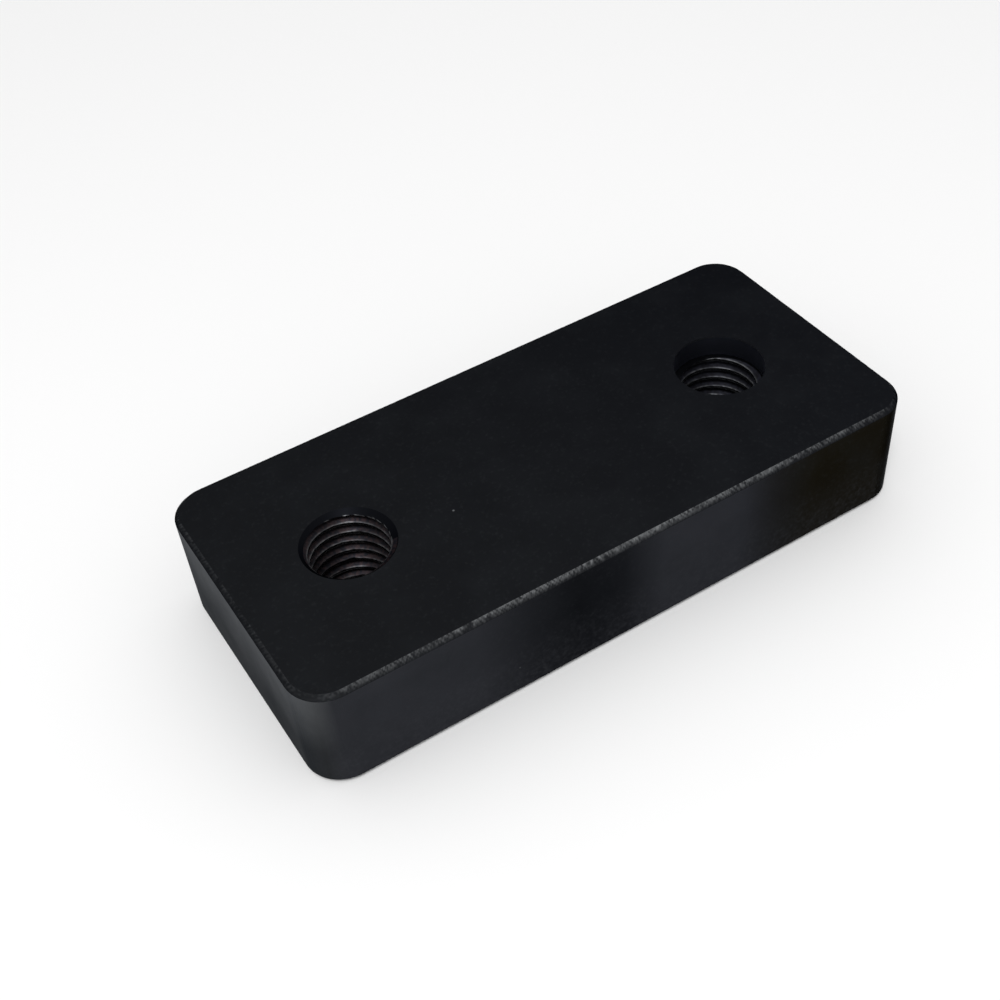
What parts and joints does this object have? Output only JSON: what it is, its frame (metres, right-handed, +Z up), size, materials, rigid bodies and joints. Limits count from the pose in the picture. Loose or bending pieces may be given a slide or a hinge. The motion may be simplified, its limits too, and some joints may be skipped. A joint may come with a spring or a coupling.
{
  "type": "machined mounting block",
  "caption": "Flat black steel mounting block with rounded corners, chamfered edges and tapped through holes for bolting parts together.",
  "frame": {"origin": "middle of the underside", "axes": "+X along the block towards the counterbored hole, +Y across the block, +Z up out of the top face"},
  "size_m": [0.1396, 0.0636, 0.0254],
  "materials": {
    "black_oxide_steel": "satin"
  },
  "bodies": {
    "root": {"mounting_block": "black_oxide_steel"}
  },
  "joints": []
}
